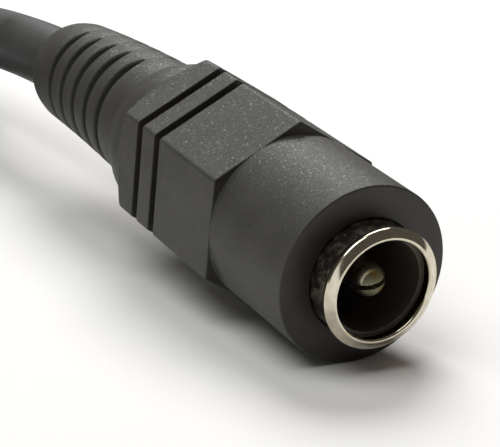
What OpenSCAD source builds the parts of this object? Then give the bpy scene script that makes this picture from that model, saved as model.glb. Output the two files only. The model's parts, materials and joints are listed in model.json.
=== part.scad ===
// Moulded in-line DC power socket, 5.5 mm bore with a split centre pin,
// on a short two-core lead that is coiled and tied.
// Connector frame: x = 0 at the moulded front face, +X out of the mouth,
// one corner of the six-sided grip straight up. lie() then lays it down.

/* [Moulded body] */
// Radius of the round front barrel
barrel_r = 5.5; // [5:0.05:6.5]
// Radius of the rounded edge round the front face
face_edge = 0.12; // [0.05:0.01:0.4]
// Distance from the front face to the start of the grip
grip_start = 8.3; // [6:0.1:10]
// Length of the six-sided grip
grip_length = 12.7; // [11:0.1:15]
// Length of the chamfer round the rear corners of the grip
rear_chamfer = 0.6; // [0.3:0.1:1]
// Length of the round collar behind the grip
collar_length = 3.2; // [2.6:0.1:4.5]
// Radius of the collar where it turns down to the strain relief
collar_r = 4.95; // [4.7:0.05:5.2]

/* [Grip grooves] */
// Distance from the front of the grip to the front groove
groove_from = 7.2; // [5:0.1:7.5]
// Width of each grip groove
groove_w = 0.72; // [0.4:0.02:1]
// Width of the band between the two grooves
band_w = 1.65; // [1:0.05:1.8]
// Depth of the grip grooves
groove_depth = 0.65; // [0.3:0.05:0.9]

/* [Strain relief] */
// Radius of the strain relief at the collar
relief_r = 4.5; // [4:0.05:4.6]
// Radius of the strain relief at its last rib
relief_tip_r = 3.8; // [3.4:0.05:4]
// Length of the ribbed part
relief_length = 14.6; // [14.4:0.1:17]
// Radius of the arc that rounds off its end
relief_round = 3.15; // [2.8:0.05:3.2]
// Bend of the whole strain relief, in degrees
relief_bend = 5.5; // [1:0.5:9]
// Distance from the collar to the middle of the first slot
slot_first = 3; // [2:0.1:3.3]
// Pitch of the slots
slot_pitch = 2.22; // [2:0.02:2.3]
// Width of each slot
slot_w = 0.9; // [0.7:0.05:1.2]
// Radius of the core left at the bottom of the slots
slot_core_r = 3.1; // [2.9:0.05:3.3]
// Width of the spines left along the top and the bottom
spine_w = 1.5; // [1:0.1:2.5]

/* [Socket] */
// Outer radius of the plated barrel shell
shell_r = 3.46; // [3.4:0.02:3.8]
// Wall of the plated barrel shell
shell_wall = 0.25; // [0.2:0.01:0.3]
// Distance that the middle of the rolled rim stands proud of the face
rim_proud = 1.85; // [1.2:0.05:2.5]
// Outer radius of the rolled rim
rim_r = 3.71; // [3.6:0.01:3.8]
// Radius of the roll of the rim
rim_roll = 0.345; // [0.3:0.005:0.4]
// Distance that the rim's lip reaches back inside the mouth
lip_run = 0.4; // [0.3:0.05:1.2]
// Depth of the socket from the front face to its floor
socket_depth = 8; // [7:0.1:8.4]
// Inner radius of the insulating liner, which a 5.5 mm plug enters
liner_r = 2.85; // [2.8:0.01:2.9]
// Radius of the centre pin
pin_r = 1.0; // [0.95:0.01:1.05]
// Distance from the front face out to the middle of the pin's domed tip
pin_tip = 0.45; // [0:0.05:0.8]
// Width of the saw cut in the pin's tip
pin_cut_w = 0.3; // [0.25:0.05:0.5]
// Length of the saw cut
pin_cut_length = 5; // [3:0.5:6]
// Turn of the saw cut from level, in degrees
pin_cut_turn = 15; // [0:5:45]
// Clearance between the shell, the liner and the parts let into them
slip = 0.02; // [0.01:0.01:0.03]

/* [Lead] */
// Outer radius of the cable jacket
cable_r = 2.4; // [2.2:0.02:2.5]
// Radius of each insulated core
core_r = 0.9; // [0.8:0.02:0.92]
// Radius of the stranded wire in a core
wire_r = 0.45; // [0.4:0.01:0.5]
// Distance between the middles of the two cores
core_pitch = 1.9; // [1.86:0.01:1.92]
// Length of bare cores at the free end
stripped = 16; // [12:1:18]

/* [Hidden] */
$fn = 64;
eps = 0.05; // how far a cutting shape runs past the face it cuts
step = 0.06; // height of the faint steps where mould parts meet

// grip
flat_proud = 0.03; // how far the grip's flats stand proud of the barrel
corner_r = (barrel_r + flat_proud) / cos(30);
clear = 1; // how far a cutting shape reaches past the corners
grip_end = grip_start + grip_length;
groove_front = grip_start + groove_from;
groove_rear = groove_front + groove_w + band_w;
chamfer_lead = rear_chamfer * clear / (corner_r - barrel_r - step); // the cone runs on past the corners
collar_end = grip_end + collar_length;
collar_round = 0.6;
collar_flat = collar_length / 5;

// strain relief, bent about a line below it
relief_tail_r = relief_tip_r - step - relief_round;
tail_land = 0.15; // wall left round the cable where the moulding ends
relief_tail = sqrt(pow(relief_round, 2) - pow(cable_r + tail_land - relief_tail_r, 2));
bend_r = (relief_length + relief_tail) / (relief_bend * PI / 180);
slot_count = floor((relief_length - slot_first - slot_w) / slot_pitch) + 1;
function bend_angle(s) = s / bend_r * 180 / PI;
function relief_at(s) = relief_r + (relief_tip_r - relief_r) * s / relief_length;

// socket
rim_mid_r = rim_r - rim_roll;
rim_hole_r = rim_mid_r - rim_roll;
shell_inner_r = shell_r - shell_wall;
liner_outer_r = shell_inner_r - slip;
lip_back = rim_proud - lip_run;
bulkhead = 2; // wall of the liner behind the socket
bulkhead_back = socket_depth + bulkhead;
ledge = 0.6; // step back from each part to the next behind the socket
shell_back = bulkhead_back + ledge;
insulator_back = shell_back + ledge;
pin_neck_r = 0.8 * pin_r;
window_w = 2.2;
leaf_w = 2;
leaf_t = 0.25;
leaf_front = 1.6;
leaf_y = sqrt(pow(liner_outer_r, 2) - pow(leaf_w / 2, 2)) - leaf_t - slip;
bow_rise = 0.32; // how far the leaf bows into the socket
bow_r = 3.2;
bow_lead = 0.2; // how far in front of mid socket the bow is highest
bow_at = socket_depth / 2 - bow_lead;

// tags, solder and wires
core_y = core_pitch / 2;
tag_t = 0.3;
tag_w = 1.3;
solder_film = 0.06; // between the wire and the tag under it
tag_top = -wire_r - solder_film;
pin_tail_back = insulator_back + ledge;
tag_gap = 0.2;
leaf_tag_front = pin_tail_back + tag_gap;
tag_length = 2.4;
tag_back = leaf_tag_front + tag_length;
wire_front = leaf_tag_front + tag_length / 4;
core_front = tag_back + 2 * tag_gap;
core_run = 3; // length of the cores between solder and jacket
jacket_front = core_front + core_run;
wire_back = jacket_front - 2 * tag_gap;
solder_r = 0.72;
bare_tip = 0.1; // bare wire in front of the solder
solder_front = wire_front + bare_tip;
solder_run = tag_back - tag_gap - solder_front;
mould_wall = 0.75; // wall of the inner mould round the shell
mould_r = shell_r + mould_wall;
mould_lap = 1; // how far the inner mould laps over the shell
mould_back = jacket_front + core_run / 2;

// lying on a surface: the face edge and the first grip corner both touch it
rest_run = grip_start - face_edge;
rest_rise = corner_r - barrel_r + face_edge;
rest_tilt = atan2(rest_rise, rest_run) - asin(face_edge / norm([rest_run, rest_rise]));
rest_height = corner_r * cos(rest_tilt) - grip_start * sin(rest_tilt);
front_reach = rim_proud * cos(rest_tilt) + rim_mid_r * sin(rest_tilt) + rim_roll;
exit_turn = relief_bend;
exit_x = collar_end + bend_r * sin(exit_turn);
exit_z = -bend_r * (1 - cos(exit_turn));
rear_reach = exit_x * cos(rest_tilt) - exit_z * sin(rest_tilt);
shift_x = (rear_reach - front_reach) / 2;
exit = [shift_x - rear_reach, 0, rest_height + exit_x * sin(rest_tilt) + exit_z * cos(rest_tilt)];

// lead: from the strain relief down to the coil
coil_r = 24; // radius at the middle of the turns
coil_mid = [-52, -coil_r];
cable_d = 2 * cable_r;
coil_top = 3 * cable_r; // height of the middle of the upper turn
route = [
    exit, [-25, 0, 9.1], [-29, 0, 9], [-33, 0, 8.78], [-36, 0, 8.54], [-40, 0, 8.14],
    [-44, 0, 7.73], [-48, 0, 7.38], [-52, 0, coil_top],
];
tail_r = coil_r - cable_d;
tail_from = 296;
tail_to = 336;
stripped_turn = stripped / tail_r * 180 / PI;
wire_turn = stripped_turn * 0.4;
tie_at = 200;
tie_w = 4;
tie_t = 0.5;

// lays a piece down in its resting place
module lie()
    translate([shift_x, 0, rest_height]) rotate([0, rest_tilt, 0]) children();

// turns a shape built up +Z into one that runs back along -X from x
module back_from(x)
    translate([-x, 0, 0]) rotate([0, -90, 0]) children();

module rod(r, from, to, y = 0, z = 0)
    translate([0, y, z]) back_from(from) cylinder(h = to - from, r = r);

// carries its children to the distance s along the bent strain relief
module at_bend(s)
    translate([-collar_end - bend_r * sin(bend_angle(s)), 0, -bend_r * (1 - cos(bend_angle(s)))])
        rotate([0, -bend_angle(s), 0]) children();

// a round rod that follows the bent strain relief from its start to its end
module bent_rod(r, y = 0, turn = relief_bend)
    translate([-collar_end, 0, -bend_r]) rotate([0, -90, 0]) rotate([90, 0, 0])
        rotate_extrude(angle = turn, $fn = 256) translate([bend_r, -y]) circle(r);

module barrel_shape()
    back_from(0) rotate_extrude() {
        translate([0, face_edge]) square([barrel_r, grip_start - face_edge + eps]);
        square([barrel_r - face_edge, grip_start]);
        translate([barrel_r - face_edge, face_edge]) circle(face_edge);
    }

module hexagon(corner, from, to)
    back_from(from) cylinder(h = to - from, r = corner, $fn = 6);

// the bare six-sided grip, its rear corners turned down to the collar
module grip_shape()
    intersection() {
        hexagon(corner_r, grip_start, grip_end);
        back_from(grip_start) rotate_extrude() polygon([
            [0, -eps], [corner_r + clear, -eps], [corner_r + clear, grip_length - rear_chamfer - chamfer_lead],
            [barrel_r + step, grip_length], [barrel_r + step, grip_length + eps], [0, grip_length + eps],
        ]);
    }

module grip_groove(from)
    difference() {
        hexagon(corner_r + clear, from, from + groove_w);
        hexagon(corner_r - groove_depth / cos(30), from - eps, from + groove_w + eps);
    }

module collar_shape()
    back_from(grip_end - eps) rotate_extrude() {
        square([barrel_r, collar_flat + eps]);
        polygon([
            [0, collar_flat], [barrel_r, collar_flat + eps],
            [collar_r, collar_length - collar_round + eps], [0, collar_length - collar_round + eps],
        ]);
        square([collar_r - collar_round, collar_length + eps]);
        translate([collar_r - collar_round, collar_length - collar_round + eps]) circle(collar_round);
    }

module relief_rib(from, to, lower = 0)
    at_bend(from) back_from(0)
        cylinder(h = to - from, r1 = relief_at(from) - lower, r2 = relief_at(to) - lower);

module relief_spines(s)
    intersection() {
        relief_rib(s - slot_w / 2 - eps, s + slot_w / 2 + eps, step);
        at_bend(s) cube([2 * slot_w, spine_w, 4 * relief_r], center = true);
    }

module relief_shape() {
    for (i = [0 : slot_count]) {
        from = i == 0 ? -collar_round : slot_first + (i - 1) * slot_pitch + slot_w / 2;
        to = i == slot_count ? relief_length + eps : slot_first + i * slot_pitch - slot_w / 2;
        relief_rib(from, to);
    }
    for (i = [0 : slot_count - 1]) relief_spines(slot_first + i * slot_pitch);
    bent_rod(slot_core_r, turn = bend_angle(relief_length));
    at_bend(relief_length + relief_tail) back_from(-relief_tail - 2 * step) rotate_extrude() {
        square([relief_tip_r - step, 2 * step]);
        translate([0, 2 * step]) intersection() {
            translate([relief_tail_r, 0]) circle(relief_round);
            square([relief_tip_r, relief_tail]);
        }
    }
}

module overmould()
    color("#3a3a38") lie() difference() {
        union() {
            barrel_shape();
            difference() {
                grip_shape();
                grip_groove(groove_front);
                grip_groove(groove_rear);
            }
            collar_shape();
            relief_shape();
        }
        rod(shell_r, -eps, shell_back);
        rod(mould_r, shell_back - mould_lap, mould_back);
        rod(cable_r, mould_back - eps, collar_end);
        bent_rod(cable_r);
    }

module barrel_shell()
    color("#c9c6bd") lie() back_from(-rim_proud) rotate_extrude() {
        translate([rim_mid_r, 0]) circle(rim_roll);
        translate([shell_inner_r, 0]) square([shell_wall, rim_proud + shell_back]);
        translate([rim_hole_r, 0]) square([shell_r - rim_hole_r, lip_run]);
    }

// slab of a solder tag from front to tag_back, y being its middle
module tag(front, y)
    translate([-tag_back, y - tag_w / 2, tag_top - tag_t]) cube([tag_back - front, tag_w, tag_t]);

module leaf_strip(front, back)
    translate([-back, -leaf_y - leaf_t, -leaf_w / 2]) cube([back - front, leaf_t, leaf_w]);

// the leaf's tail reaches across to its tag
module leaf_tail() {
    leaf_strip(insulator_back - eps, tag_back);
    translate([-tag_back, -leaf_y - leaf_t, tag_top - tag_t])
        cube([tag_back - leaf_tag_front, leaf_y + leaf_t - core_y + tag_w / 2, tag_t]);
}

module leaf_shape() {
    leaf_strip(leaf_front, insulator_back);
    // the sprung bow that bears on the plug's sleeve
    intersection() {
        translate([-bow_at - bow_r, -leaf_y - leaf_t, -leaf_w / 2]) cube([2 * bow_r, 4 * leaf_t, leaf_w]);
        translate([-bow_at, -leaf_y - bow_r + bow_rise, -leaf_w / 2]) difference() {
            cylinder(h = leaf_w, r = bow_r);
            translate([0, 0, -eps]) cylinder(h = leaf_w + 2 * eps, r = bow_r - leaf_t);
        }
    }
    leaf_tail();
}

module liner()
    color("#151413") lie() difference() {
        rod(liner_outer_r, -lip_back + slip, bulkhead_back);
        rod(liner_r, -lip_back - eps, socket_depth);
        rod(pin_neck_r, socket_depth - eps, bulkhead_back + eps);
        translate([-bulkhead_back - eps, -liner_outer_r - eps, -window_w / 2])
            cube([bulkhead_back + eps - leaf_front + slip, liner_outer_r - liner_r + leaf_t, window_w]);
    }

module centre_pin()
    color("#cfc8b4") lie() {
        difference() {
            union() {
                rod(pin_r, -pin_tip, socket_depth);
                translate([pin_tip, 0, 0]) sphere(pin_r);
            }
            rotate([pin_cut_turn, 0, 0])
                translate([pin_tip + pin_r - pin_cut_length, -2 * pin_r, -pin_cut_w / 2])
                    cube([2 * pin_cut_length, 4 * pin_r, pin_cut_w]);
        }
        rod(pin_neck_r, socket_depth, pin_tail_back);
        tag(insulator_back, core_y);
    }

module sleeve_contact()
    color("#bdb9ab") lie() leaf_shape();

module rear_insulator()
    color("#d8d2c2") lie() difference() {
        rod(liner_outer_r, bulkhead_back, insulator_back);
        rod(pin_neck_r, bulkhead_back - eps, insulator_back + eps);
        translate([-insulator_back - eps, -liner_outer_r - eps, -window_w / 2])
            cube([insulator_back - bulkhead_back + 2 * eps, liner_outer_r + eps - leaf_y, window_w]);
    }

// a tapered drop round a wire, cut back to the solder by its callers
module joint_blob(y)
    translate([0, y, 0]) back_from(solder_front) rotate_extrude() polygon([
        [0, 0], [solder_r * 0.75, 0], [solder_r, solder_run / 4],
        [solder_r, solder_run * 3 / 4], [solder_r * 0.75, solder_run], [0, solder_run],
    ]);

module solder(y)
    color("#a9aaa8") lie() difference() {
        joint_blob(y);
        rod(wire_r, wire_front, core_front, y);
        tag(wire_front, y);
    }

module wire(y)
    color("#c77b46") lie() rod(wire_r, wire_front, wire_back, y);

module core(y, shade)
    color(shade) lie() difference() {
        union() {
            rod(core_r, core_front, collar_end, y);
            bent_rod(core_r, y);
        }
        rod(wire_r, core_front - eps, wire_back, y);
    }

module jacket_inner()
    color("#2b2b2a") lie() difference() {
        union() {
            rod(cable_r, jacket_front, collar_end);
            bent_rod(cable_r);
        }
        for (y = [-core_y, core_y]) {
            rod(core_r, jacket_front - eps, collar_end, y);
            bent_rod(core_r, y);
        }
    }

module inner_mould()
    color("#e4e0d2") lie() difference() {
        rod(mould_r, shell_back - mould_lap, mould_back);
        rod(shell_r, shell_back - mould_lap - eps, shell_back);
        rod(liner_outer_r, shell_back - eps, insulator_back);
        rod(cable_r, jacket_front, mould_back + eps);
        rod(pin_neck_r, insulator_back - eps, pin_tail_back);
        tag(insulator_back - eps, core_y);
        leaf_tail();
        for (y = [-core_y, core_y]) {
            joint_blob(y);
            rod(wire_r, wire_front, core_front, y);
            rod(core_r, core_front, jacket_front + eps, y);
        }
    }

// ring of points round the point p of the route, square to the way it runs
function ring(p, way, sides) = let (
    side = [0, 1, 0],
    up = cross(way, side) / norm(cross(way, side))
) [for (k = [0 : sides - 1]) p + cable_r * (cos(360 * k / sides) * side + sin(360 * k / sides) * up)];

module cable_tube() {
    sides = 12;
    count = len(route);
    relief_way = [-cos(relief_bend - rest_tilt), 0, -sin(relief_bend - rest_tilt)];
    ways = [for (i = [0 : count - 1])
        i == 0 ? relief_way : i == count - 1 ? [-1, 0, 0] : route[i + 1] - route[i - 1]];
    points = [for (i = [0 : count - 1]) each ring(route[i], ways[i], sides)];
    walls = [for (i = [0 : count - 2], k = [0 : sides - 1])
        let (a = i * sides + k, b = i * sides + (k + 1) % sides) [a, b, b + sides, a + sides]];
    ends = [[for (k = [sides - 1 : -1 : 0]) k], [for (k = [0 : sides - 1]) (count - 1) * sides + k]];
    color("#2f2f2e") polyhedron(points, concat(walls, ends));
}

module coil_section()
    translate([coil_r, 0]) {
        translate([0, cable_r]) circle(cable_r);
        translate([0, coil_top]) circle(cable_r);
        translate([-cable_r, cable_r]) square([cable_d, cable_d]);
    }

module in_coil(turn = 0)
    translate([coil_mid[0], coil_mid[1], 0]) rotate([0, 0, turn]) children();

// band that holds the two turns together, flat where it lies on the surface
module tie_shape()
    in_coil(tie_at) translate([coil_r, tie_w / 2, 0]) rotate([90, 0, 0]) linear_extrude(tie_w)
        difference() {
            union() {
                translate([-cable_r - tie_t, 0]) square([cable_d + 2 * tie_t, coil_top]);
                translate([0, coil_top]) circle(cable_r + tie_t);
            }
            translate([-cable_r, tie_t]) square([cable_d, coil_top - tie_t]);
            translate([0, coil_top]) circle(cable_r);
        }

module cable_coil()
    color("#2f2f2e") difference() {
        in_coil() rotate_extrude($fn = 128) coil_section();
        tie_shape();
        // the lead comes in here, over the lower turn
        translate([coil_mid[0], coil_mid[1], cable_d]) cube([2 * coil_r, 2 * coil_r, 2 * cable_d]);
    }

module cable_tail()
    color("#2f2f2e") in_coil(tail_from) rotate_extrude(angle = tail_to - tail_from, $fn = 128)
        translate([tail_r, cable_r]) circle(cable_r);

module coil_tie()
    color("#202020") tie_shape();

module end_core(side, shade)
    color(shade) in_coil(tail_to) rotate_extrude(angle = stripped_turn - wire_turn, $fn = 128)
        translate([tail_r + side * core_y, cable_r]) circle(core_r);

module end_wire(side)
    color("#c8c8c4") in_coil(tail_to + stripped_turn - wire_turn)
        rotate_extrude(angle = wire_turn, $fn = 128)
            translate([tail_r + side * core_y, cable_r]) circle(wire_r);

overmould();
barrel_shell();
liner();
centre_pin();
sleeve_contact();
rear_insulator();
inner_mould();
solder(core_y);  // solder_pin
solder(-core_y);  // solder_sleeve
wire(core_y);  // wire_positive
wire(-core_y);  // wire_negative
core(core_y, "#a8322a");  // core_positive
core(-core_y, "#1c1c1c");  // core_negative
jacket_inner();
cable_tube();
cable_coil();
cable_tail();
coil_tie();
end_core(1, "#a8322a");  // end_core_positive
end_core(-1, "#1c1c1c");  // end_core_negative
end_wire(1);  // end_wire_positive
end_wire(-1);  // end_wire_negative
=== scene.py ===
import bpy, bmesh, json, math
from mathutils import Matrix, Vector


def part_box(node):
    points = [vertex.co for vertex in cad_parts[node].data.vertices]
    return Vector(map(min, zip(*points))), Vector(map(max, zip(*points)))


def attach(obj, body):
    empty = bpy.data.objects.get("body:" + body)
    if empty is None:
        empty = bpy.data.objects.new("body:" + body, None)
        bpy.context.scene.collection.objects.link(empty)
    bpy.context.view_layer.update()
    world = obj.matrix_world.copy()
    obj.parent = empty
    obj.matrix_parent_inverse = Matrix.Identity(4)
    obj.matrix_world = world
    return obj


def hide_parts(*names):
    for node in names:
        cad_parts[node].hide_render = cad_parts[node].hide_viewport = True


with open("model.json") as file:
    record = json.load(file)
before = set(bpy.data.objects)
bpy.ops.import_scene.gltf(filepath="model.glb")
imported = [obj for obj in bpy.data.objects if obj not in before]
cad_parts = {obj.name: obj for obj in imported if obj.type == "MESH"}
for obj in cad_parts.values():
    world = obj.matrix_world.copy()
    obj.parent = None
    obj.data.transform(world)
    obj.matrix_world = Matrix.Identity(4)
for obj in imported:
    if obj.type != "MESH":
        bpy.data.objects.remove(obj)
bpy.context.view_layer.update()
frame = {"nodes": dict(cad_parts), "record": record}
mm = 0.001
mergeWithin = 0.0005  # millimetres between vertices that are one

# lengths in the dictionaries are millimetres; distances along the socket run back from its face


def srgb(code):
    parts = [int(code[i:i + 2], 16) / 255 for i in (1, 3, 5)]
    return tuple(c / 12.92 if c <= 0.04045 else ((c + 0.055) / 1.055) ** 2.4 for c in parts) + (1.0,)


def addNode(tree, kind, inputs=(), **settings):
    node = tree.nodes.new(kind)
    for name, value in settings.items():
        setattr(node, name, value)
    for key, value in dict(inputs).items():
        if isinstance(value, bpy.types.NodeSocket):
            tree.links.new(value, node.inputs[key])
        else:
            node.inputs[key].default_value = value
    return node


body = {
    "barrelRadius": 5.5, "barrelDraft": 0.018, "barrelRings": (2.0, 5.0),
    "faceEdge": 0.12, "faceRings": (4.3, 4.9), "boreGap": 0.04, "boreEdge": 0.1,
    "gripStart": 8.3, "gripEnd": 21.0, "flatProud": 0.03, "cornerRound": 0.28, "edgeRound": 0.12,
    "grooves": ((15.5, 16.22), (17.87, 18.59)), "grooveDepth": 0.65, "lipRound": 0.09,
    "rearChamfer": 0.6, "rearLead": 0.2, "rearRun": 0.3, "rearSoft": 0.05, "collarSoft": 0.02,
    "collarEnd": 24.2, "collarFlat": 0.64, "collarSlope": ((22.5, 5.36), (23.1, 5.09)),
    "collarRadius": 4.95, "collarRound": 0.6, "collarTurn": (84, 10),
    "reliefStart": 0.12, "reliefRadius": 4.5, "reliefTip": 3.8, "reliefLength": 14.6, "reliefBend": 5.5,
    "slotFirst": 3.0, "slotPitch": 2.22, "slotCount": 5, "slotWidth": 0.9, "slotLeast": 0.06,
    "slotTaper": 2.0, "slotFloor": 3.1, "rearLip": 0.2, "spineHalf": 0.75,
    "stepDown": 0.06, "tipLead": 0.08, "tipDrop": 0.05, "endRound": 3.15, "endLand": 0.15,
    "cableGap": 0.01, "mouldRadius": 4.21, "mouldFront": 9.6, "mouldBack": 19.3,
    "faceReach": 20.0, "faceLean": 0.8,
}
shell = {
    "radius": 3.46, "wall": 0.25, "rimProud": 1.85, "rimRadius": 3.71, "roll": 0.345,
    "belly": 0.27, "bellyBack": 0.38, "nose": 0.15, "neckProud": 1.3, "neckTurn": 4,
    "lipRun": 0.4, "lipEdge": 0.06, "back": 10.6, "columns": 160, "greaseFront": 1.36, "greaseSkin": 0.05,
}
cable = {"radius": 2.4, "coilRadius": 24.0, "coilX": -52.0, "coreRadius": 0.9, "corePitch": 1.9,
         "strip": 16.0, "bevelSteps": 7, "pointSteps": 5}

apothem = body["barrelRadius"] + body["flatProud"]
cornerRadius = apothem / math.cos(math.radians(30))
restRun = body["gripStart"] - body["faceEdge"]
restRise = cornerRadius - body["barrelRadius"] + body["faceEdge"]
tilt = math.atan2(restRise, restRun) - math.asin(body["faceEdge"] / math.hypot(restRun, restRise))
axisHeight = cornerRadius * math.cos(tilt) - body["gripStart"] * math.sin(tilt)
endCentre = body["reliefTip"] - body["stepDown"] - body["endRound"]
endRun = math.sqrt(body["endRound"] ** 2 - (cable["radius"] + body["endLand"] - endCentre) ** 2)
bendRadius = (body["reliefLength"] + endRun) / math.radians(body["reliefBend"])
rimMiddle = shell["rimRadius"] - shell["roll"]
frontReach = shell["rimProud"] * math.cos(tilt) + rimMiddle * math.sin(tilt) + shell["roll"]
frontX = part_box("barrel_shell")[1].x / mm - frontReach
lieDown = Matrix.Translation(Vector((frontX, 0, axisHeight)) * mm) @ Matrix.Rotation(tilt, 4, "Y")


def along(back, up, side):
    # a point in the socket's own frame, bent with the strain relief behind the collar
    past = back - body["collarEnd"]
    if past <= 0:
        return Vector((-back, side, up))
    angle = past / bendRadius
    return Vector((-body["collarEnd"] - bendRadius * math.sin(angle) - up * math.sin(angle), side,
                   -bendRadius * (1 - math.cos(angle)) + up * math.cos(angle)))


view = {"target": (14.614, -4.872, 7.778), "distance": 103.0, "azimuth": 59.983,
        "elevation": 17.079, "roll": 2.367, "lens": 129.6, "sensor": 36}


def makeCamera():
    a, e = math.radians(view["azimuth"]), math.radians(view["elevation"])
    back = Vector((math.sin(a) * math.cos(e), -math.cos(a) * math.cos(e), math.sin(e)))
    data = bpy.data.cameras.new("camera")
    data.lens, data.sensor_width = view["lens"], view["sensor"]
    data.clip_start, data.clip_end = 0.005, 10
    camera = bpy.data.objects.new("camera", data)
    camera.location = (Vector(view["target"]) + back * view["distance"]) * mm
    turn = (-back).to_track_quat("-Z", "Y").to_matrix().to_4x4() @ Matrix.Rotation(
        math.radians(view["roll"]), 4, "Z")
    camera.rotation_euler = turn.to_euler()
    bpy.context.collection.objects.link(camera)
    bpy.context.scene.camera = camera


makeCamera()
print("camera placed")

exitPoint = lieDown @ (along(body["collarEnd"] + body["reliefLength"] + endRun, 0, 0) * mm)
leadRoute = ((-25, 9.1), (-29, 9), (-33, 8.78), (-36, 8.54), (-40, 8.14), (-44, 7.73), (-48, 7.38))
coil = {"layerDrop": (0.7, 0.98), "moveIn": (1.44, 1.572), "turns": 1.6833, "perTurn": 18}
coilMiddle = Vector((cable["coilX"], -cable["coilRadius"], 0)) * mm


def smooth(low, high, value):
    t = min(max((value - low) / (high - low), 0), 1)
    return t * t * (3 - 2 * t)


def coilPoint(turn, offset=0.0, lift=0.0):
    angle = math.radians(90 + 360 * turn)
    radius = cable["coilRadius"] - 2 * cable["radius"] * smooth(*coil["moveIn"], turn) + offset
    height = cable["radius"] * (3 - 2 * smooth(*coil["layerDrop"], turn)) + lift
    return coilMiddle + Vector((radius * math.cos(angle), radius * math.sin(angle), height)) * mm


def makeCurve(name, routes, radius):
    curve = bpy.data.curves.new(name, "CURVE")
    curve.dimensions = "3D"
    curve.bevel_depth, curve.bevel_resolution = radius, cable["bevelSteps"]
    curve.resolution_u = curve.render_resolution_u = cable["pointSteps"]
    curve.use_fill_caps = True
    for route in routes:
        spline = curve.splines.new("BEZIER")
        spline.bezier_points.add(len(route) - 1)
        for point, place in zip(spline.bezier_points, route):
            point.co = place
            point.handle_left_type = point.handle_right_type = "AUTO"
    piece = bpy.data.objects.new(name, curve)
    bpy.context.collection.objects.link(piece)
    return piece


steps = int(coil["turns"] * coil["perTurn"])
leadPath = [exitPoint] + [Vector((x, 0, z)) * mm for x, z in leadRoute]
leadPath += [coilPoint(coil["turns"] * i / steps) for i in range(steps + 1)]
lead = makeCurve("lead", [leadPath], cable["radius"] * mm)


def startMaterial(name, **values):
    material = bpy.data.materials.new(name)
    material.use_nodes = True
    tree = material.node_tree
    shader = tree.nodes["Principled BSDF"]
    for key, value in values.items():
        shader.inputs[key.replace("_", " ")].default_value = value
    place = addNode(tree, "ShaderNodeTexCoord").outputs["Object"]
    return material, tree, shader, place


def feed(tree, shader, **sockets):
    for key, socket in sockets.items():
        tree.links.new(socket, shader.inputs[key.replace("_", " ")])


def perMetre(size):
    return 1 / (size * mm)  # texture scale for a feature of that size in millimetres


def clouded(tree, place, size, dark, light, low=0.3, high=0.7, detail=3.0, coarse=0.55):
    # a colour between dark and light, mixed by clouds of that size, and the clouds themselves
    clouds = addNode(tree, "ShaderNodeTexNoise", {
        "Vector": place, "Scale": perMetre(size), "Detail": detail, "Roughness": coarse}).outputs["Fac"]
    share = addNode(tree, "ShaderNodeMapRange", {
        "Value": clouds, "From Min": low, "From Max": high}).outputs["Result"]
    mixed = addNode(tree, "ShaderNodeMix", {0: share, 6: srgb(dark), 7: srgb(light)}, data_type="RGBA")
    return mixed.outputs[2], clouds


def uneven(tree, place, size, depth, strength=0.4):
    # a skin with shallow bumps of that size and depth
    bumps = addNode(tree, "ShaderNodeTexNoise", {
        "Vector": place, "Scale": perMetre(size), "Detail": 3.0, "Roughness": 0.55}).outputs["Fac"]
    return addNode(tree, "ShaderNodeBump", {
        "Height": bumps, "Strength": strength, "Distance": depth * mm}).outputs["Normal"]


def dusted(tree, place, color, dust, spacing, size, share):
    # round specks of dust over a colour, in a share of the cells of a loose scatter
    scatter = addNode(tree, "ShaderNodeTexVoronoi", {"Vector": place, "Scale": perMetre(spacing)})
    cell = addNode(tree, "ShaderNodeSeparateColor", {"Color": scatter.outputs["Color"]}).outputs["Green"]
    dot = addNode(tree, "ShaderNodeMapRange", {
        "Value": scatter.outputs["Distance"], "From Min": size / spacing,
        "From Max": size / spacing * 0.6}).outputs["Result"]
    kept = addNode(tree, "ShaderNodeMath", {0: cell, 1: 1 - share}, operation="GREATER_THAN").outputs[0]
    specks = addNode(tree, "ShaderNodeMath", {0: dot, 1: kept}, operation="MULTIPLY").outputs[0]
    mixed = addNode(tree, "ShaderNodeMix", {0: specks, 6: color, 7: srgb(dust)}, data_type="RGBA")
    return mixed.outputs[2]


def grainTilt(tree, place, size, share, gentle, strong):
    # leans the surface one way in every grain of a spark-eroded skin, and strongly in a share of them
    grains = addNode(tree, "ShaderNodeTexVoronoi", {"Vector": place, "Scale": perMetre(size)})
    cells = grains.outputs["Color"]
    bright = addNode(tree, "ShaderNodeSeparateColor", {"Color": cells}).outputs["Red"]
    glint = addNode(tree, "ShaderNodeMapRange", {
        "Value": bright, "From Min": 1 - share, "From Max": 1 - share * 0.9}).outputs["Result"]
    amount = addNode(tree, "ShaderNodeMapRange", {
        "Value": glint, "To Min": gentle, "To Max": strong}).outputs["Result"]
    lean = addNode(tree, "ShaderNodeVectorMath", {0: cells, 1: (0.5, 0.5, 0.35)}, operation="SUBTRACT")
    lean = addNode(tree, "ShaderNodeVectorMath", {0: lean.outputs[0], "Scale": amount}, operation="SCALE")
    normal = addNode(tree, "ShaderNodeNewGeometry").outputs["Normal"]
    leant = addNode(tree, "ShaderNodeVectorMath", {0: normal, 1: lean.outputs[0]}, operation="ADD")
    leant = addNode(tree, "ShaderNodeVectorMath", {0: leant.outputs[0]}, operation="NORMALIZE")
    return leant.outputs[0], glint


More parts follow.
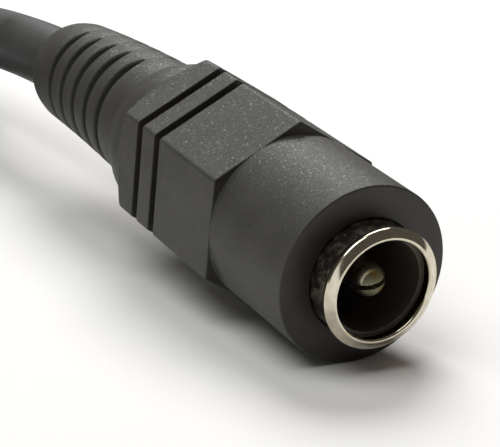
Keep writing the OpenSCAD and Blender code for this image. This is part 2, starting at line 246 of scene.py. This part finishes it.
def mouldedPvc():
    # injection-moulded PVC from a spark-eroded tool: dull dark grey, its grains glint at a low angle
    # the grains are drawn a little coarser than real ones, so that they show
    material, tree, shader, place = startMaterial("sparkErodedPvc", IOR=1.53)
    leant, glint = grainTilt(tree, place, 0.075, 0.12, 0.16, 0.45)
    color = clouded(tree, place, 2.5, "#373631", "#3f3e3a", 0.35, 0.65)[0]
    color = dusted(tree, place, color, "#a9a9a4", 1.6, 0.045, 0.1)
    rough = addNode(tree, "ShaderNodeMapRange", {
        "Value": glint, "To Min": 0.62, "To Max": 0.42}).outputs["Result"]
    feed(tree, shader, Base_Color=color, Roughness=rough, Normal=leant)
    return material


def smoothPvcPaintedShade():
    # the same PVC off a ground tool face: smoother; its darker colour is painted shade, for faces that
    # look forward, away from the lamps
    material, tree, shader, place = startMaterial("smoothPvcPaintedShade", Roughness=0.48, IOR=1.53)
    color = clouded(tree, place, 3.0, "#1d1916", "#24201c", 0.35, 0.65)[0]
    color = dusted(tree, place, color, "#b5b3ad", 1.3, 0.05, 0.16)
    feed(tree, shader, Base_Color=color, Normal=uneven(tree, place, 0.15, 0.015))
    return material


def jacketPvc():
    # extruded PVC cable jacket: smoother than the moulding, its sheen uneven from handling
    material, tree, shader, place = startMaterial("extrudedPvcJacket", IOR=1.53)
    color, clouds = clouded(tree, place, 3.0, "#3b3b3a", "#474746", detail=4.0)
    rough = addNode(tree, "ShaderNodeMapRange", {
        "Value": clouds, "From Min": 0.3, "From Max": 0.7,
        "To Min": 0.42, "To Max": 0.56}).outputs["Result"]
    feed(tree, shader, Base_Color=color, Roughness=rough, Normal=uneven(tree, place, 0.2, 0.02))
    return material


def nickelPlate():
    # bright nickel over a drawn and rolled brass shell: mirror-like, warm, with faint rubbed streaks
    material, tree, shader, place = startMaterial("brightNickelPlate", Metallic=1.0)
    color, streaks = clouded(tree, place, 0.5, "#d8d2c0", "#c8bfa6", 0.35, 0.7, 4.0)
    rough = addNode(tree, "ShaderNodeMapRange", {
        "Value": streaks, "From Min": 0.3, "From Max": 0.75,
        "To Min": 0.07, "To Max": 0.2}).outputs["Result"]
    feed(tree, shader, Base_Color=color, Roughness=rough)
    return material


def greasyNickel():
    # the same plate behind the rim, dulled by dark grease with lint and dust caught in it
    material, tree, shader, place = startMaterial("greasyNickelPlate", Metallic=0.3)
    color, film = clouded(tree, place, 1.1, "#211d17", "#6d6959", 0.48, 0.72, 6.0, 0.75)
    color = dusted(tree, place, color, "#a5a193", 0.45, 0.05, 0.3)
    rough = addNode(tree, "ShaderNodeMapRange", {
        "Value": film, "From Min": 0.4, "From Max": 0.7,
        "To Min": 0.35, "To Max": 0.8}).outputs["Result"]
    thick = addNode(tree, "ShaderNodeBump", {"Height": film, "Strength": 0.5, "Distance": 0.05 * mm})
    feed(tree, shader, Base_Color=color, Roughness=rough, Normal=thick.outputs["Normal"])
    return material


def blackAbs():
    # moulded ABS liner: brown-black with a satin shine
    material, tree, shader, place = startMaterial("blackAbs", Roughness=0.5, IOR=1.52)
    color = clouded(tree, place, 1.2, "#3c342e", "#463d36", 0, 1)[0]
    feed(tree, shader, Base_Color=color, Normal=uneven(tree, place, 0.15, 0.01))
    return material


def turnedPin():
    # brass pin, turned and thinly nickel plated: a pale shine, with brass showing in places
    material, tree, shader, place = startMaterial("platedTurnedBrass", Metallic=1.0, Roughness=0.3)
    color = clouded(tree, place, 0.7, "#dcdacb", "#b59c57", 0.5, 0.7)[0]
    feed(tree, shader, Base_Color=color, Normal=uneven(tree, place, 0.12, 0.01))
    return material


def wornBrassTip():
    # the middle of the pin's tip, where plugs have worn the plating off: olive and dull
    material, tree, shader, place = startMaterial("wornBrassTip", Metallic=0.7, Roughness=0.48)
    color = clouded(tree, place, 0.8, "#7f7c64", "#8f7420", 0.54, 0.66, 2.0)[0]
    feed(tree, shader, Base_Color=color, Normal=uneven(tree, place, 0.1, 0.012))
    return material


def plainFinish(name, dark, light, size, roughness, metallic=0.0, depth=0.02, grain=0.3):
    # clouds of that size change its colour and sheen a little, over a fine uneven skin
    material, tree, shader, place = startMaterial(name, Metallic=metallic)
    color, clouds = clouded(tree, place, size, dark, light, detail=4.0)
    rough = addNode(tree, "ShaderNodeMapRange", {
        "Value": clouds, "From Min": 0.3, "From Max": 0.7,
        "To Min": roughness * 0.85, "To Max": min(roughness * 1.2, 1)}).outputs["Result"]
    feed(tree, shader, Base_Color=color, Roughness=rough, Normal=uneven(tree, place, grain, depth, 0.5))
    return material


finishes = {
    "moulded_pvc": mouldedPvc(),
    "nickel_plate": nickelPlate(),
    "black_insulator": blackAbs(),
    "plated_brass_pin": turnedPin(),
    # rolled bronze strip, plated: a warm, even shine
    "contact_spring": plainFinish("platedPhosphorBronze", "#b3a98d", "#cdc7b4", 0.8, 0.25, 1.0),
    # punched from sheet: cream and half dull
    "pale_insulator": plainFinish("punchedNylonWasher", "#cfc7b0", "#ddd6c3", 1.5, 0.5),
    # moulded low and fast round the joints: milky and waxy
    "pale_premould": plainFinish("waxyPolyethylenePremould", "#dcd7c6", "#e8e4d8", 3.0, 0.42),
    # solder that has flowed: grey and bright
    "solder": plainFinish("reflowedTinSolder", "#8f9192", "#b4b6b6", 0.4, 0.3, 1.0),
    # bunched bare wire: salmon pink
    "copper_strand": plainFinish("bunchedCopperStrand", "#b06a3c", "#cf8a58", 0.3, 0.3, 1.0),
    # extruded core insulation: smooth, with a soft shine
    "red_insulation": plainFinish("redPvcInsulation", "#9a2a22", "#ad352c", 2.0, 0.4),
    "black_insulation": plainFinish("blackPvcInsulation", "#171716", "#222221", 2.0, 0.4),
    "cable_jacket": jacketPvc(),
    # woven strap with loops on it: black without any shine
    "tie_strap": plainFinish("wovenNylonHookStrap", "#161616", "#242424", 0.4, 0.85, 0.0, 0.08, 0.25),
    # dipped in tin: pale and bright
    "tinned_strand": plainFinish("tinnedCopperStrand", "#a8a8a3", "#cfcfca", 0.3, 0.28, 1.0),
}
# the darker PVC for the forward faces is painted shade
paintedShadeFace, greasyPlate, wornTip = smoothPvcPaintedShade(), greasyNickel(), wornBrassTip()
for part in frame["record"]["subparts"]:
    node = frame["nodes"][part["node"]]
    node.data.materials.clear()
    node.data.materials.append(finishes[part["material_slot"]])
print("finishes mixed")


def arc(back, radius, size, start, end, count):
    # points round (back, radius); 0 degrees looks back along the socket and 90 outwards
    turns = [math.radians(start + (end - start) * i / (count - 1)) for i in range(count)]
    return [(back + size * math.cos(t), radius + size * math.sin(t)) for t in turns]


def spinProfile(profile, columns, closed=True):
    # every vertex keeps the number of its profile point in the layer ring
    mesh = bmesh.new()
    ring = mesh.verts.layers.int.new("ring")
    verts = [mesh.verts.new((-back, 0, radius)) for back, radius in profile]
    for i, vert in enumerate(verts):
        vert[ring] = i
    pairs = list(zip(verts, verts[1:])) + ([(verts[-1], verts[0])] if closed else [])
    edges = [mesh.edges.new(pair) for pair in pairs]
    bmesh.ops.spin(mesh, geom=verts + edges, cent=(0, 0, 0), axis=(1, 0, 0), angle=math.tau,
                   steps=columns, use_merge=True)
    return mesh


def joinMesh(whole, extra):
    data = bpy.data.meshes.new("joined")
    extra.to_mesh(data)
    extra.free()
    whole.from_mesh(data)
    bpy.data.meshes.remove(data)


def makeObject(name, mesh):
    data = bpy.data.meshes.new(name)
    mesh.to_mesh(data)
    mesh.free()
    piece = bpy.data.objects.new(name, data)
    bpy.context.collection.objects.link(piece)
    return piece


def addPiece(name, mesh, slot, nodes, second=None):
    # the mesh is in millimetres in the socket's frame; sharp edges stay sharp
    bmesh.ops.remove_doubles(mesh, verts=mesh.verts, dist=mergeWithin)
    bmesh.ops.recalc_face_normals(mesh, faces=mesh.faces)
    for face in mesh.faces:
        face.smooth = True
    bmesh.ops.transform(mesh, matrix=lieDown @ Matrix.Scale(mm, 4), verts=mesh.verts)
    piece = makeObject(name, mesh)
    piece.data.set_sharp_from_angle(angle=math.radians(38))
    for material in [finishes[slot]] + ([second] if second else []):
        piece.data.materials.append(material)
    piece.modifiers.new("evenNormals", "WEIGHTED_NORMAL").keep_sharp = True
    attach(piece, "root")
    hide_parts(*nodes)
    return piece


def paintForward(piece, node, reach, lean):
    # the second material goes on faces that look out of the mouth, within reach of the node's front
    settle, nearest = lieDown.to_3x3().inverted(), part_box(node)[1].x - reach * mm
    for face in piece.data.polygons:
        if face.center.x > nearest and (settle @ face.normal).x > lean:
            face.material_index = 1


skin = {"sectorSteps": 18, "crowding": 1.7}  # columns in half a grip flat, crowded to its corners


def columnAngle(index):
    # angle from straight up; the grip's corners are at multiples of 60 degrees
    sector, place = divmod(index, 2 * skin["sectorSteps"])
    half = place / skin["sectorSteps"]
    near = half if half <= 1 else 2 - half
    away = 30 * near ** skin["crowding"]
    return sector * 60 + (away if half <= 1 else 60 - away)


def hexagonRadius(angle, flat):
    off = math.radians(abs((angle + 30) % 60 - 30))
    rounding = body["cornerRound"]
    middle = (flat - rounding) / math.cos(math.radians(30))
    turnAt = math.atan2(rounding / 2, middle + rounding * math.cos(math.radians(30)))
    if off < turnAt:
        return middle * math.cos(off) + math.sqrt(rounding ** 2 - (middle * math.sin(off)) ** 2)
    return flat / math.cos(math.radians(30) - off)


def reliefRadius(past):
    taper = (body["reliefTip"] - body["reliefRadius"]) / body["reliefLength"]
    return body["reliefRadius"] + taper * past


def grooveProfile(start, end, top, floor):
    lip = body["lipRound"]
    front = arc(start - lip, top - lip, lip, 90, 0, 4) + arc(start + lip, floor + lip, lip, 180, 270, 3)
    rear = arc(end - lip, floor + lip, lip, 270, 360, 3) + arc(end + lip, top - lip, lip, 180, 90, 4)
    return front + rear


def slotProfile(middle, angle):
    # a slot that narrows and grows shallow towards the spines above and below
    outer = reliefRadius(middle)
    side = math.radians(abs((angle + 90) % 180 - 90))  # from the nearer spine
    near = min(max((side * outer - body["spineHalf"]) / body["slotTaper"], 0), 1)
    width = max(body["slotWidth"] / 2 * (1 - (1 - near) ** 2), body["slotLeast"])
    depth = (outer - body["slotFloor"]) * smooth(0, 0.6, near)
    least, cut = 0.004, 0.3  # smallest lip, and the share of a lip left in the middle of a foot
    points = []
    for sign, rounding in ((-1, body["lipRound"]), (1, body["rearLip"])):
        lip = min(rounding, max(depth / 2, least))
        wall = middle + sign * width
        rim = reliefRadius(wall + sign * lip)
        edge = [(wall + sign * lip * (1 - math.sin(t)), rim - lip * (1 - math.cos(t)))
                for t in (0, math.pi / 6, math.pi / 3, math.pi / 2)]
        base = rim - max(depth, 2 * lip)
        foot = [(wall, base + lip), (wall - sign * lip * cut, base + lip * cut), (wall - sign * lip, base)]
        points += (edge + foot) if sign < 0 else (edge + foot)[::-1]
    return points


def easedMin(a, b, soft):
    return min(a, b) - soft * math.log1p(math.exp(-abs(a - b) / soft))


def rearProfile(grip):
    # rear corners turned down like a nut's, running into the collar
    end, low = body["gripEnd"], body["barrelRadius"] + body["stepDown"]
    slope = (cornerRadius - low) / body["rearChamfer"]
    start = min(end, end - (grip - low) / slope) - body["rearLead"]
    count = 12
    points = []
    for i in range(count):
        back = start + (end + body["rearRun"] - start) * i / (count - 1)
        turned = easedMin(grip, low + slope * (end - back), body["rearSoft"])
        points.append((back, -easedMin(-turned, -body["barrelRadius"], body["collarSoft"])))
    return points


def barrelProfile(bore):
    barrel, draft = body["barrelRadius"], body["barrelDraft"]
    edge, mouth = body["faceEdge"], body["boreEdge"]
    points = [(mouth, bore), (0.0, bore + mouth)] + [(0.0, radius) for radius in body["faceRings"]]
    points += arc(edge, barrel - edge, edge, 180, 90, 5)
    points += [(past, barrel + draft * past / body["gripStart"]) for past in body["barrelRings"]]
    return points


def gripProfile(angle):
    grip, full = hexagonRadius(angle, apothem), body["barrelRadius"] + body["barrelDraft"]
    start, fillet = body["gripStart"], min(body["edgeRound"], (grip - full) / 2)
    points = arc(start - fillet, full + fillet, fillet, 270, 360, 4)
    points += arc(start + fillet, grip - fillet, fillet, 180, 90, 5)
    floor = hexagonRadius(angle, apothem - body["grooveDepth"])
    for groove in body["grooves"]:
        points += grooveProfile(*groove, grip, floor)
    return points + rearProfile(grip)


def reliefProfile(angle):
    collar, bow, length = body["collarEnd"], body["collarRound"], body["reliefLength"]
    points = [(body["gripEnd"] + body["collarFlat"], body["barrelRadius"])] + list(body["collarSlope"])
    points += arc(collar - bow, body["collarRadius"] - bow, bow, *body["collarTurn"], 7)
    points.append((collar + body["reliefStart"], reliefRadius(body["reliefStart"])))
    for i in range(body["slotCount"]):
        slot = slotProfile(body["slotFirst"] + i * body["slotPitch"], angle)
        points += [(collar + past, radius) for past, radius in slot]
    points += [(collar + length - body["tipLead"], reliefRadius(length)),
               (collar + length, reliefRadius(length) - body["tipDrop"])]
    count = 9
    for i in range(1, count + 1):
        past = endRun * i / count
        points.append((collar + length + past, endCentre + math.sqrt(body["endRound"] ** 2 - past ** 2)))
    return points


def insideProfile(bore):
    # back along the cable's hole and round the room for the inner mould
    hole, room = cable["radius"] + body["cableGap"], body["mouldRadius"]
    collar, length = body["collarEnd"], body["reliefLength"]
    return [(collar + length + endRun, hole), (collar + length / 2, hole), (collar, hole),
            (body["mouldBack"], hole), (body["mouldBack"], room), (body["mouldFront"], room),
            (body["mouldFront"], bore)]


def bodyProfile(angle):
    bore = shell["radius"] + body["boreGap"]
    return barrelProfile(bore) + gripProfile(angle) + reliefProfile(angle) + insideProfile(bore)


def makeMouldedBody():
    columns = 12 * skin["sectorSteps"]
    mesh = spinProfile(bodyProfile(0), columns)
    ring = mesh.verts.layers.int["ring"]
    profiles = [bodyProfile(columnAngle(i)) for i in range(columns)]
    for vert in mesh.verts:
        column = round(math.atan2(vert.co.y, vert.co.z) / math.tau * columns) % columns
        angle = math.radians(columnAngle(column))
        back, radius = profiles[column][vert[ring]]
        vert.co = along(back, radius * math.cos(angle), radius * math.sin(angle))
    piece = addPiece("mouldedBody", mesh, "moulded_pvc", ["overmould"], paintedShadeFace)
    # faces that look out of the mouth take the darker PVC: painted shade where little light reaches them
    paintForward(piece, "overmould", body["faceReach"], body["faceLean"])


makeMouldedBody()
print("body moulded")


def makeShell():
    # a tube whose rim is rolled: a round belly outside, a slope, and a small round nose at the hole
    outer, inner = shell["radius"], shell["radius"] - shell["wall"]
    hole = shell["rimRadius"] - 2 * shell["roll"]
    front, lipBack = -shell["rimProud"] - shell["roll"], shell["lipRun"] - shell["rimProud"]
    belly, nose, edge = shell["belly"], shell["nose"], shell["lipEdge"]
    bellyAt = (front + shell["bellyBack"], shell["rimRadius"] - belly)
    noseAt = (front + nose, hole + nose)
    run, rise = bellyAt[0] - noseAt[0], bellyAt[1] - noseAt[1]
    lean = math.atan2(rise, run) - math.asin((belly - nose) / math.hypot(run, rise))
    slant = 90 + math.degrees(lean)
    neck = math.degrees(math.asin((outer - bellyAt[1]) / belly)) + shell["neckTurn"]
    profile = [(shell["back"], outer), (0.0, outer), (-shell["neckProud"], outer)]
    profile += arc(*bellyAt, belly, neck, slant, 14) + arc(*noseAt, nose, slant, 270, 12)
    profile += [(lipBack - edge, hole), (lipBack, hole + edge), (lipBack, inner), (shell["back"], inner)]
    mesh = spinProfile(profile, shell["columns"])
    piece = addPiece("rolledShell", mesh, "nickel_plate", ["barrel_shell"], greasyPlate)
    settle = lieDown.inverted()
    for face in piece.data.polygons:
        middle = settle @ face.center
        outside = math.hypot(middle.y, middle.z) > (outer - shell["greaseSkin"]) * mm
        if outside and middle.x < shell["greaseFront"] * mm:
            face.material_index = 1


makeShell()
print("shell rolled")

liner = {"radius": 2.85, "front": -1.43, "floor": 8.0, "back": 10.0, "gap": 0.02,
         "mouth": 0.03, "mouthTurn": (0.012, 0.008), "floorEdge": 0.2, "columns": 128}
leaf = {"window": 2.2, "front": 1.58, "face": 2.8}
pin = {
    "radius": 1.0, "tip": 0.45, "cut": 0.3, "cutLength": 5.0, "cutTurn": 15, "cutEdge": 0.035,
    "neck": 0.8, "back": 11.8, "rootLap": 0.1, "domeSteps": 14, "columns": 64, "rodColumns": 48,
    "tagFront": 11.2, "tagBack": 14.4, "tagTop": -0.51, "tagThick": 0.3, "tagWidth": 1.3,
    "wornReach": 1.5, "wornLean": 0.66,
}
pinRoot = pin["cutLength"] - pin["tip"] - pin["radius"]


def addRod(mesh, start, end, radius):
    outline = [(start, 0), (start, radius), (end, radius), (end, 0)]
    rod = spinProfile(outline, pin["rodColumns"], closed=False)
    bmesh.ops.remove_doubles(rod, verts=rod.verts, dist=mergeWithin)
    joinMesh(mesh, rod)


def addPinHalf(mesh, sign):
    radius = pin["radius"]
    turns = [math.pi / 2 * i / pin["domeSteps"] for i in range(pin["domeSteps"] + 1)]
    outline = [(-pin["tip"] - radius * math.cos(t), radius * math.sin(t)) for t in turns]
    outline += [(pinRoot + pin["rootLap"], radius), (pinRoot + pin["rootLap"], 0)]
    half = spinProfile(outline, pin["columns"], closed=False)
    bmesh.ops.remove_doubles(half, verts=half.verts, dist=mergeWithin)
    bmesh.ops.bisect_plane(half, geom=half.verts[:] + half.edges[:] + half.faces[:], dist=0.0001,
                           plane_co=(0, 0, sign * pin["cut"] / 2), plane_no=(0, 0, -sign),
                           clear_outer=True)
    rim = [edge for edge in half.edges if edge.is_boundary]
    flat = bmesh.ops.contextual_create(half, geom=rim)["faces"]
    bmesh.ops.recalc_face_normals(half, faces=half.faces)
    bmesh.ops.bevel(half, geom=[edge for face in flat for edge in face.edges], offset=pin["cutEdge"],
                    affect="EDGES", segments=2, profile=0.5, material=-1)
    joinMesh(mesh, half)


def makePin():
    # a domed rod whose front is sawn into two springy halves, with a flat tag at its rear
    mesh = bmesh.new()
    for sign in (-1, 1):
        addPinHalf(mesh, sign)
    bmesh.ops.transform(mesh, matrix=Matrix.Rotation(math.radians(pin["cutTurn"]), 4, "X"),
                        verts=mesh.verts)
    addRod(mesh, pinRoot, liner["floor"], pin["radius"])
    addRod(mesh, liner["floor"], pin["back"], pin["neck"])
    tag = bmesh.ops.create_cube(mesh, size=1)["verts"]
    middle = (-(pin["tagBack"] + pin["tagFront"]) / 2, cable["corePitch"] / 2,
              pin["tagTop"] - pin["tagThick"] / 2)
    size = (pin["tagBack"] - pin["tagFront"], pin["tagWidth"], pin["tagThick"], 1)
    bmesh.ops.transform(mesh, matrix=Matrix.Translation(middle) @ Matrix.Diagonal(size), verts=tag)
    piece = addPiece("splitPin", mesh, "plated_brass_pin", ["centre_pin"], wornTip)
    paintForward(piece, "centre_pin", pin["wornReach"], pin["wornLean"])


def cutAway(piece, name, low, high):
    # takes a box between two corners, in the socket's frame, out of a piece
    mesh = bmesh.new()
    bmesh.ops.create_cube(mesh, size=1)
    middle, size = (Vector(low) + Vector(high)) / 2, Vector(high) - Vector(low)
    bmesh.ops.transform(mesh, matrix=lieDown @ Matrix.Scale(mm, 4) @ Matrix.Translation(middle)
                        @ Matrix.Diagonal(size).to_4x4(), verts=mesh.verts)
    cutter = makeObject(name, mesh)
    cut = piece.modifiers.new(name, "BOOLEAN")
    cut.object, cut.solver = cutter, "EXACT"
    piece.modifiers.move(len(piece.modifiers) - 1, 0)
    with bpy.context.temp_override(object=piece, active_object=piece, selected_objects=[piece]):
        bpy.ops.object.modifier_apply(modifier=name)
    bpy.data.objects.remove(cutter)


def makeLiner():
    outer = shell["radius"] - shell["wall"] - liner["gap"]
    inner, front, back, floor = liner["radius"], liner["front"], liner["back"], liner["floor"]
    mouth, turn, edge = liner["mouth"], liner["mouthTurn"], liner["floorEdge"]
    profile = [(back, outer), (front + mouth, outer), (front, outer - mouth), (front, inner + mouth),
               (front + turn[0], inner + turn[1]), (front + mouth, inner), (floor - edge, inner),
               (floor, inner - edge), (floor, pin["neck"]), (back, pin["neck"])]
    mesh = spinProfile(profile, liner["columns"])
    piece = addPiece("socketLiner", mesh, "black_insulator", ["liner"])
    half, beyond = leaf["window"] / 2, 1
    cutAway(piece, "leafWindow", (-back - beyond, -outer - beyond, -half),
            (-leaf["front"], -leaf["face"], half))


makeLiner()
makePin()
print("socket assembled")

ends = {"hidden": 1.5, "bareShare": 0.6, "droop": 1.3, "lap": 1.0, "strandRadius": 0.15,
        "layRadius": 0.29, "layTurn": 1 / 16, "points": 9}


def coreRoute(side, start, end):
    # start and end are millimetres past the end of the jacket
    radius, count = cable["coilRadius"] - 2 * cable["radius"], ends["points"] - 1
    route = []
    for i in range(count + 1):
        past = start + (end - start) * i / count
        turn = coil["turns"] + past / (math.tau * radius)
        fall = ends["droop"] * smooth(0, cable["strip"], max(past, 0))
        route.append(coilPoint(turn, side * cable["corePitch"] / 2, -fall))
    return route


def strandRoutes(side, start, end):
    # six strands laid in a helix round a seventh
    middle = coreRoute(side, start, end)
    forward = (middle[-1] - middle[0]).normalized()
    out = forward.cross(Vector((0, 0, 1))).normalized()
    up = out.cross(forward)
    routes = [middle]
    for k in range(6):
        turns = [math.tau * (k / 6 + i * ends["layTurn"]) for i in range(len(middle))]
        routes.append([point + (out * math.cos(turn) + up * math.sin(turn)) * ends["layRadius"] * mm
                       for point, turn in zip(middle, turns)])
    return routes


def addEnd(name, routes, radius, slot, node):
    piece = makeCurve(name, routes, radius * mm)
    piece.data.materials.append(finishes[slot])
    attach(piece, "root")
    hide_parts(node)
    return piece


bareFrom = cable["strip"] * ends["bareShare"]
for name, side, slot, node in (("redCore", 1, "red_insulation", "end_core_positive"),
                               ("blackCore", -1, "black_insulation", "end_core_negative")):
    route = coreRoute(side, -ends["hidden"], bareFrom)
    addEnd(name, [route], cable["coreRadius"], slot, node)
for name, side, node in (("redCoreStrands", 1, "end_wire_positive"),
                         ("blackCoreStrands", -1, "end_wire_negative")):
    routes = strandRoutes(side, bareFrom - ends["lap"], cable["strip"])
    addEnd(name, routes, ends["strandRadius"], "tinned_strand", node)

tie = {"turn": 110 / 360, "width": 4.0, "thickness": 0.5, "corner": 0.3, "sideSteps": 12,
       "tongueFrom": 70, "tongueDown": (5.2, 3.4)}


def strapBand(outline, closed):
    # a band across the turns, drawn as the line of its outer face and given its thickness inwards
    half = tie["width"] / 2
    mesh = bmesh.new()
    verts = [mesh.verts.new((across, -half, up)) for across, up in outline]
    pairs = list(zip(verts, verts[1:])) + ([(verts[-1], verts[0])] if closed else [])
    edges = [mesh.edges.new(pair) for pair in pairs]
    for i in range(4):
        grown = bmesh.ops.extrude_edge_only(mesh, edges=edges)["geom"]
        edges = [item for item in grown if isinstance(item, bmesh.types.BMEdge)]
        fresh = [item for item in grown if isinstance(item, bmesh.types.BMVert)]
        bmesh.ops.translate(mesh, vec=(0, half / 2, 0), verts=fresh)
    bmesh.ops.recalc_face_normals(mesh, faces=mesh.faces)
    bmesh.ops.solidify(mesh, geom=mesh.faces[:], thickness=tie["thickness"])
    return mesh


def makeTie():
    # a hook-and-loop strap wrapped once round both turns, its tongue pressed down over the outside
    thick, corner, height = tie["thickness"], tie["corner"], 3 * cable["radius"]
    reach = cable["radius"] + thick
    count = tie["sideSteps"] + 1
    loop = [(across, height + up) for across, up in arc(0, 0, reach, 0, 180, count)]
    loop += [(-reach, thick), (-reach + corner, 0.0), (0.0, 0.0), (reach - corner, 0.0), (reach, thick)]
    over = reach + thick
    tongue = [(across, height + up) for across, up in arc(0, 0, over, tie["tongueFrom"], 0, count)]
    tongue += [(over, up) for up in tie["tongueDown"]]
    whole = bmesh.new()
    joinMesh(whole, strapBand(loop, True))
    joinMesh(whole, strapBand(tongue, False))
    angle = math.radians(90 + 360 * tie["turn"])
    place = Matrix.Translation(Vector((cable["coilX"], -cable["coilRadius"], 0))) @ Matrix.Rotation(
        angle, 4, "Z") @ Matrix.Translation((cable["coilRadius"], 0, 0))
    lift = (lieDown @ Matrix.Scale(mm, 4)).inverted() @ Matrix.Scale(mm, 4)
    bmesh.ops.transform(whole, matrix=lift @ place, verts=whole.verts)
    return addPiece("coilStrap", whole, "tie_strap", ["coil_tie"])


strap = makeTie()

lead.data.materials.append(finishes["cable_jacket"])
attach(lead, "root")
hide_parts("cable_tube", "cable_coil", "cable_tail")
print("lead tied")

studio = {"floorSize": 3000.0, "floorColor": "#f8f8f7", "floorLight": "#f9f9f8", "floorCloud": 40.0,
          "ambient": 0.11, "ambientColor": "#f0ebe4", "distance": 700}
lamps = {
    "backBox": {"azimuth": 152, "elevation": 52, "size": 420, "level": 0.62, "color": "#ffffff"},
    "leftBox": {"azimuth": 275, "elevation": 65, "size": 540, "level": 0.47, "color": "#ffffff"},
    "amberLamp": {"azimuth": 89, "elevation": 62, "size": 110, "level": 0.017, "color": "#ff9a3c"},
}


def makeFloor():
    mesh = bmesh.new()
    bmesh.ops.create_grid(mesh, x_segments=1, y_segments=1, size=studio["floorSize"] / 2 * mm)
    floor = makeObject("paperFloor", mesh)
    # matt white drawing paper: pale, even, without any shine
    paper, tree, shader, place = startMaterial("matWhitePaper", Roughness=0.9)
    color = clouded(tree, place, studio["floorCloud"], studio["floorColor"],
                    studio["floorLight"], 0, 1)[0]
    feed(tree, shader, Base_Color=color)
    floor.data.materials.append(paper)


def addLamp(name, lamp):
    # its level is the share of full white that it gives a white floor under it
    turn, rise = math.radians(lamp["azimuth"]), math.radians(lamp["elevation"])
    place = Vector((math.cos(turn) * math.cos(rise), math.sin(turn) * math.cos(rise), math.sin(rise)))
    place *= studio["distance"] * mm
    light = bpy.data.lights.new(name, "AREA")
    light.shape, light.size = "DISK", lamp["size"] * mm
    light.energy = lamp["level"] * (math.pi * place.length) ** 2 * place.length / place.z
    light.color = srgb(lamp["color"])[:3]
    holder = bpy.data.objects.new(name, light)
    holder.location = place
    holder.rotation_euler = (-holder.location).to_track_quat("-Z", "Y").to_euler()
    bpy.context.collection.objects.link(holder)


def makeRoom():
    world = bpy.data.worlds.new("softRoom")
    bpy.context.scene.world = world
    world.use_nodes = True
    back = world.node_tree.nodes["Background"]
    back.inputs["Color"].default_value = srgb(studio["ambientColor"])
    back.inputs["Strength"].default_value = studio["ambient"]


makeFloor()
for name, lamp in lamps.items():
    addLamp(name, lamp)
makeRoom()
bpy.context.scene.view_settings.view_transform = "Standard"
print("studio lit")
